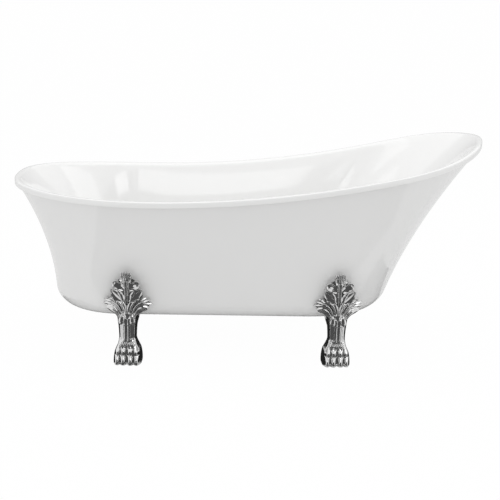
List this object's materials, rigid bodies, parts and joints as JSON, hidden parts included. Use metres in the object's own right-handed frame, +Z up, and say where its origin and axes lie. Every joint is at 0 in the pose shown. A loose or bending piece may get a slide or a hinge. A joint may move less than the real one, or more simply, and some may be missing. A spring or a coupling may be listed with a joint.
{
  "type": "clawfoot bathtub",
  "caption": "Freestanding slipper bath: white double-skinned acrylic tub, one end raised, on cast chrome claw feet with levelling screws, push-up waste and overflow.",
  "frame": {"origin": "on the floor under the middle of the tub", "axes": "+X towards the high sloping head end, +Y towards the far long side, +Z up"},
  "size_m": [1.7, 0.77, 0.777],
  "materials": {
    "white_acrylic": "high gloss, vacuum-formed acrylic",
    "white_skin": "high gloss, vacuum-formed acrylic outer skin",
    "plywood": "raw birch plywood",
    "timber": "planed softwood",
    "chromed_casting": "polished chrome plate on a casting",
    "chromed_brass": "polished chrome plate on turned brass",
    "zinc_steel": "zinc plated",
    "black_rubber": "matt moulded rubber",
    "white_moulding": "injection moulded",
    "brass_cartridge": "turned, satin"
  },
  "bodies": {
    "tub": {"basin": "white_acrylic", "outer_skirt": "white_skin", "floor_board": "plywood", "bearer_foot_end": "timber", "bearer_head_end": "timber", "leveller_nuts": "zinc_steel", "foot_bolts": "zinc_steel", "foot_washers": "zinc_steel", "t_nuts": "zinc_steel", "waste_flange": "chromed_brass", "waste_gasket_upper": "black_rubber", "waste_gasket_lower": "black_rubber", "waste_body": "white_moulding", "plug_cartridge": "brass_cartridge", "tailpiece": "chromed_brass", "slip_nut": "white_moulding", "slip_washer": "black_rubber", "overflow_cover": "chromed_brass", "overflow_screw": "chromed_brass", "overflow_gasket": "black_rubber", "overflow_elbow": "white_moulding", "overflow_pipe": "white_moulding", "foot_front_left": "chromed_casting", "foot_front_right": "chromed_casting", "foot_back_left": "chromed_casting", "foot_back_right": "chromed_casting"},
    "leveller_front_left": {"leveller_screw_front_left": "zinc_steel", "leveller_pad_front_left": "black_rubber"},
    "leveller_front_right": {"leveller_screw_front_right": "zinc_steel", "leveller_pad_front_right": "black_rubber"},
    "leveller_back_left": {"leveller_screw_back_left": "zinc_steel", "leveller_pad_back_left": "black_rubber"},
    "leveller_back_right": {"leveller_screw_back_right": "zinc_steel", "leveller_pad_back_right": "black_rubber"},
    "plug": {"plug_cap": "chromed_brass", "plug_seal": "black_rubber", "plug_stem": "chromed_brass"}
  },
  "joints": [
    {"name": "leveller_front_left_slide", "type": "slide", "parent": "tub", "child": "leveller_front_left", "axis": [0, 0, -1], "range_m": [0, 0.012]},
    {"name": "leveller_front_right_slide", "type": "slide", "parent": "tub", "child": "leveller_front_right", "axis": [0, 0, -1], "range_m": [0, 0.012]},
    {"name": "leveller_back_left_slide", "type": "slide", "parent": "tub", "child": "leveller_back_left", "axis": [0, 0, -1], "range_m": [0, 0.012]},
    {"name": "leveller_back_right_slide", "type": "slide", "parent": "tub", "child": "leveller_back_right", "axis": [0, 0, -1], "range_m": [0, 0.012]},
    {"name": "plug_slide", "type": "slide", "parent": "tub", "child": "plug", "axis": [0, 0, 1], "range_m": [0, 0.01]}
  ]
}
